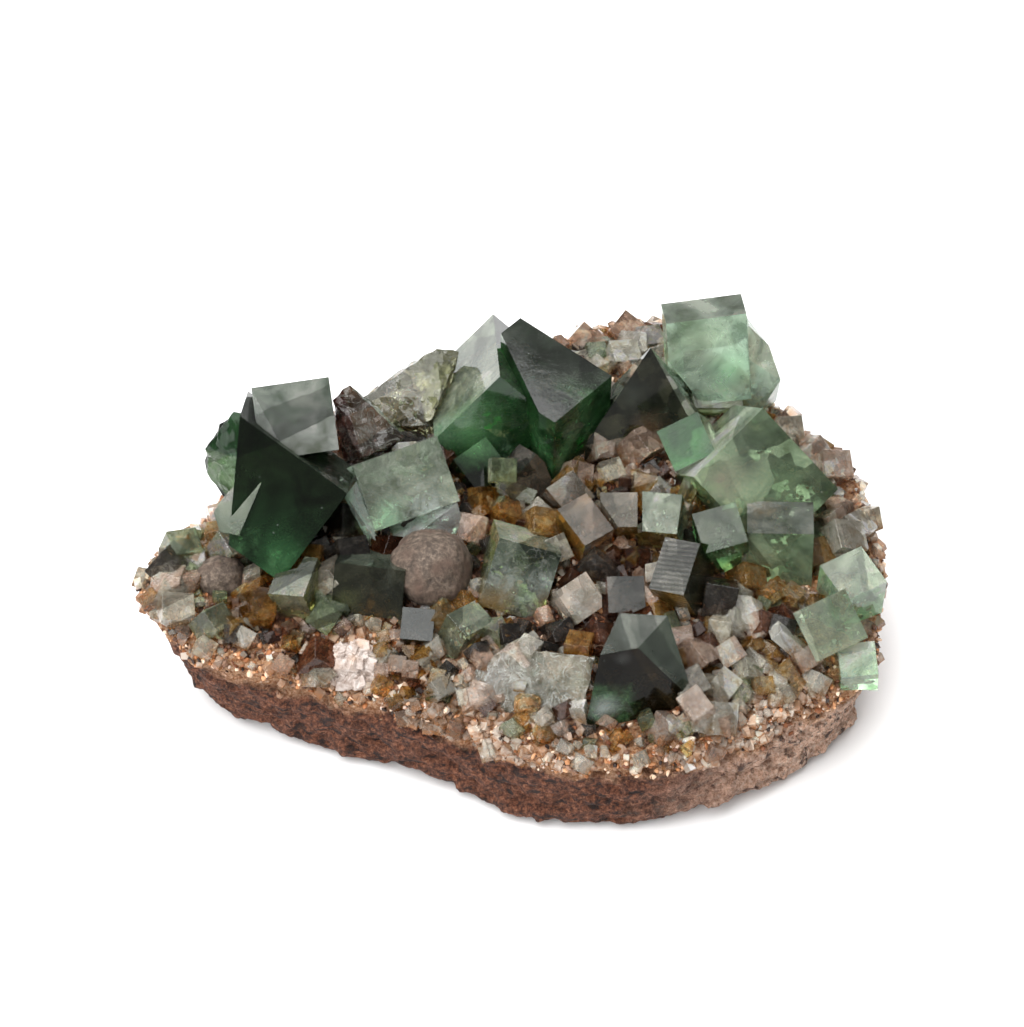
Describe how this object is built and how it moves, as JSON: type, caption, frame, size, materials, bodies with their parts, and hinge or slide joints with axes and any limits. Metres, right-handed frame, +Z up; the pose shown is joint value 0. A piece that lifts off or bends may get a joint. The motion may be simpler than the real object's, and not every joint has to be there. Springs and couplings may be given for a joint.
{
  "type": "fluorite specimen",
  "caption": "Mineral specimen: glassy green fluorite cubes and smaller pale, smoky and amber crystals grown on a flat-bottomed piece of brown rock",
  "frame": {"origin": "On the flat underside of the rock, under the middle of the specimen", "axes": "+Z up from the underside, +X along the longest side to the right as pictured, +Y to the back, -Y to the front rim"},
  "size_m": [0.0482, 0.0371, 0.0196],
  "materials": {
    "rock": "rough",
    "nodule": "rough",
    "white_quartz": "sugary",
    "druse": "glossy",
    "green_fluorite": "glossy",
    "dark_fluorite": "glossy",
    "pale_fluorite": "glossy",
    "amber_fluorite": "glossy"
  },
  "bodies": {
    "root": {"rock_matrix": "rock", "crystal_cluster_left": "green_fluorite", "crystal_twin_centre": "green_fluorite", "crystal_dark_peak": "dark_fluorite", "crystal_pale_back_right": "pale_fluorite", "crystal_cluster_right": "green_fluorite", "crystal_pale_left": "pale_fluorite", "crystal_dark_left": "dark_fluorite", "crystal_broken_back": "pale_fluorite", "crystal_green_front": "green_fluorite", "crystal_striated": "dark_fluorite", "crystal_dark_front": "dark_fluorite", "crystal_prism_right": "pale_fluorite", "crystal_pale_edge_right": "pale_fluorite", "crystal_grey_peak": "amber_fluorite", "crystal_pink_middle": "amber_fluorite", "crystal_amber_middle": "amber_fluorite", "crystal_tall_middle": "pale_fluorite", "crystal_clear_middle": "pale_fluorite", "crystal_dark_middle": "dark_fluorite", "crystal_white_front": "pale_fluorite", "crystal_smoky_left": "dark_fluorite", "crystal_yellow_left": "amber_fluorite", "crystal_pale_front": "pale_fluorite", "crystal_blue_grey_front": "dark_fluorite", "crystal_broken_front": "white_quartz", "quartz_patch": "white_quartz", "grey_nodule_large": "nodule", "grey_nodule_small": "nodule", "druse_cluster_1": "druse", "druse_cluster_2": "druse", "druse_cluster_3": "druse", "druse_cluster_4": "druse", "druse_cluster_5": "druse", "druse_cluster_6": "druse", "druse_cluster_7": "druse", "druse_cluster_8": "druse", "druse_cluster_9": "druse", "druse_cluster_10": "druse", "druse_cluster_11": "druse", "druse_cluster_12": "druse", "druse_cluster_13": "druse", "druse_cluster_14": "druse", "druse_cluster_15": "druse", "druse_cluster_16": "druse", "druse_cluster_17": "druse", "druse_cluster_18": "druse", "druse_cluster_19": "druse", "druse_cluster_20": "druse", "druse_cluster_21": "druse", "druse_cluster_22": "druse", "druse_cluster_23": "druse"}
  },
  "joints": []
}
